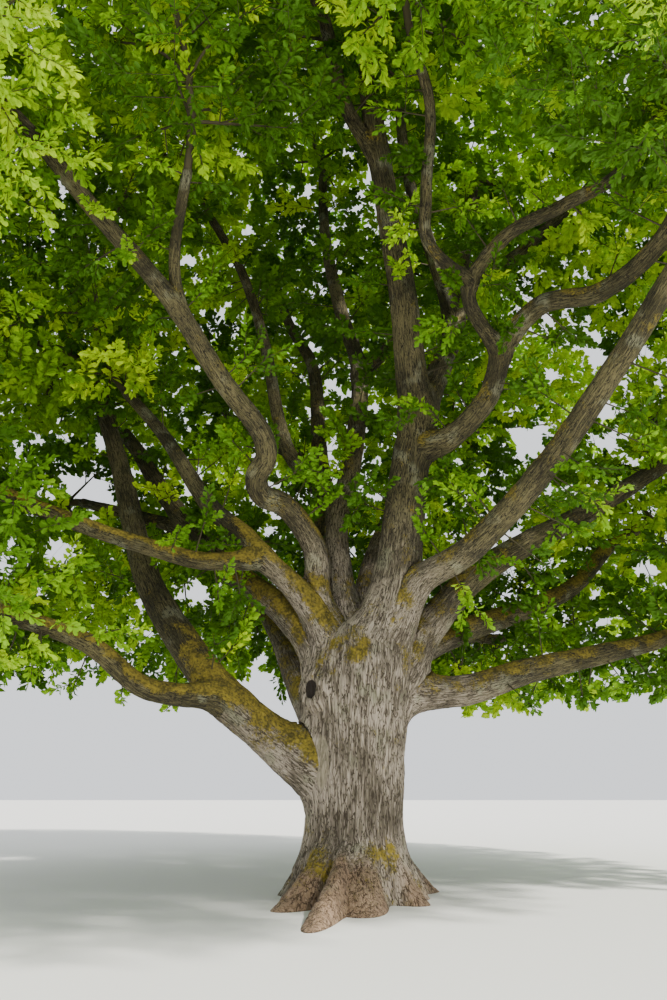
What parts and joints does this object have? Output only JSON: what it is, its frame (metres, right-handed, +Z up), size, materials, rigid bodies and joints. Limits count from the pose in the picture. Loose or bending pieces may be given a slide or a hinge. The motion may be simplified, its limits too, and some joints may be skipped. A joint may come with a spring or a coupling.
{
  "type": "oak tree",
  "caption": "Old open-grown broadleaf tree: short flared trunk, wide fan of mossy boughs and full round crown, rooted at a flat cut at ground level.",
  "frame": {"origin": "the flat cut at ground level under the middle of the trunk", "axes": "+Z up; +X to the right and -Y the near side as the tree is usually seen"},
  "size_m": [20.7268, 19.8117, 20.392],
  "materials": {
    "bark": "deeply fissured grey-brown bark with ochre moss on upper sides",
    "leaves": "fresh lobed leaves in several greens"
  },
  "bodies": {
    "root": {"bough_back": "bark", "bough_back_high": "bark", "bough_back_left": "bark", "bough_back_middle": "bark", "bough_back_right": "bark", "bough_centre": "bark", "bough_left": "bark", "bough_left_front": "bark", "bough_left_middle": "bark", "bough_low_left": "bark", "bough_low_right": "bark", "bough_right": "bark", "bough_right_front": "bark", "foliage_back": "leaves", "foliage_back_high": "leaves", "foliage_back_left": "leaves", "foliage_back_left_high": "leaves", "foliage_back_left_low": "leaves", "foliage_back_low": "leaves", "foliage_back_middle": "leaves", "foliage_back_right": "leaves", "foliage_centre_back": "leaves", "foliage_front": "leaves", "foliage_front_arch": "leaves", "foliage_front_high": "leaves", "foliage_front_middle": "leaves", "foliage_leader": "leaves", "foliage_left": "leaves", "foliage_left_back_high": "leaves", "foliage_left_front": "leaves", "foliage_left_high": "leaves", "foliage_left_inner": "leaves", "foliage_left_middle": "leaves", "foliage_level_left": "leaves", "foliage_low_left": "leaves", "foliage_low_right": "leaves", "foliage_right": "leaves", "foliage_right_front": "leaves", "foliage_right_high": "leaves", "foliage_top": "leaves", "foliage_top_front": "leaves", "foliage_top_right": "leaves", "leader": "bark", "leader_back": "bark", "leader_top": "bark", "limb_back_left_high": "bark", "limb_back_low": "bark", "limb_centre_back": "bark", "limb_front_high": "bark", "limb_front_middle": "bark", "limb_left_back": "bark", "limb_left_high": "bark", "limb_left_inner": "bark", "limb_left_level": "bark", "limb_left_low": "bark", "limb_right_arch": "bark", "limb_right_front": "bark", "limb_right_high": "bark", "trunk": "bark"}
  },
  "joints": []
}
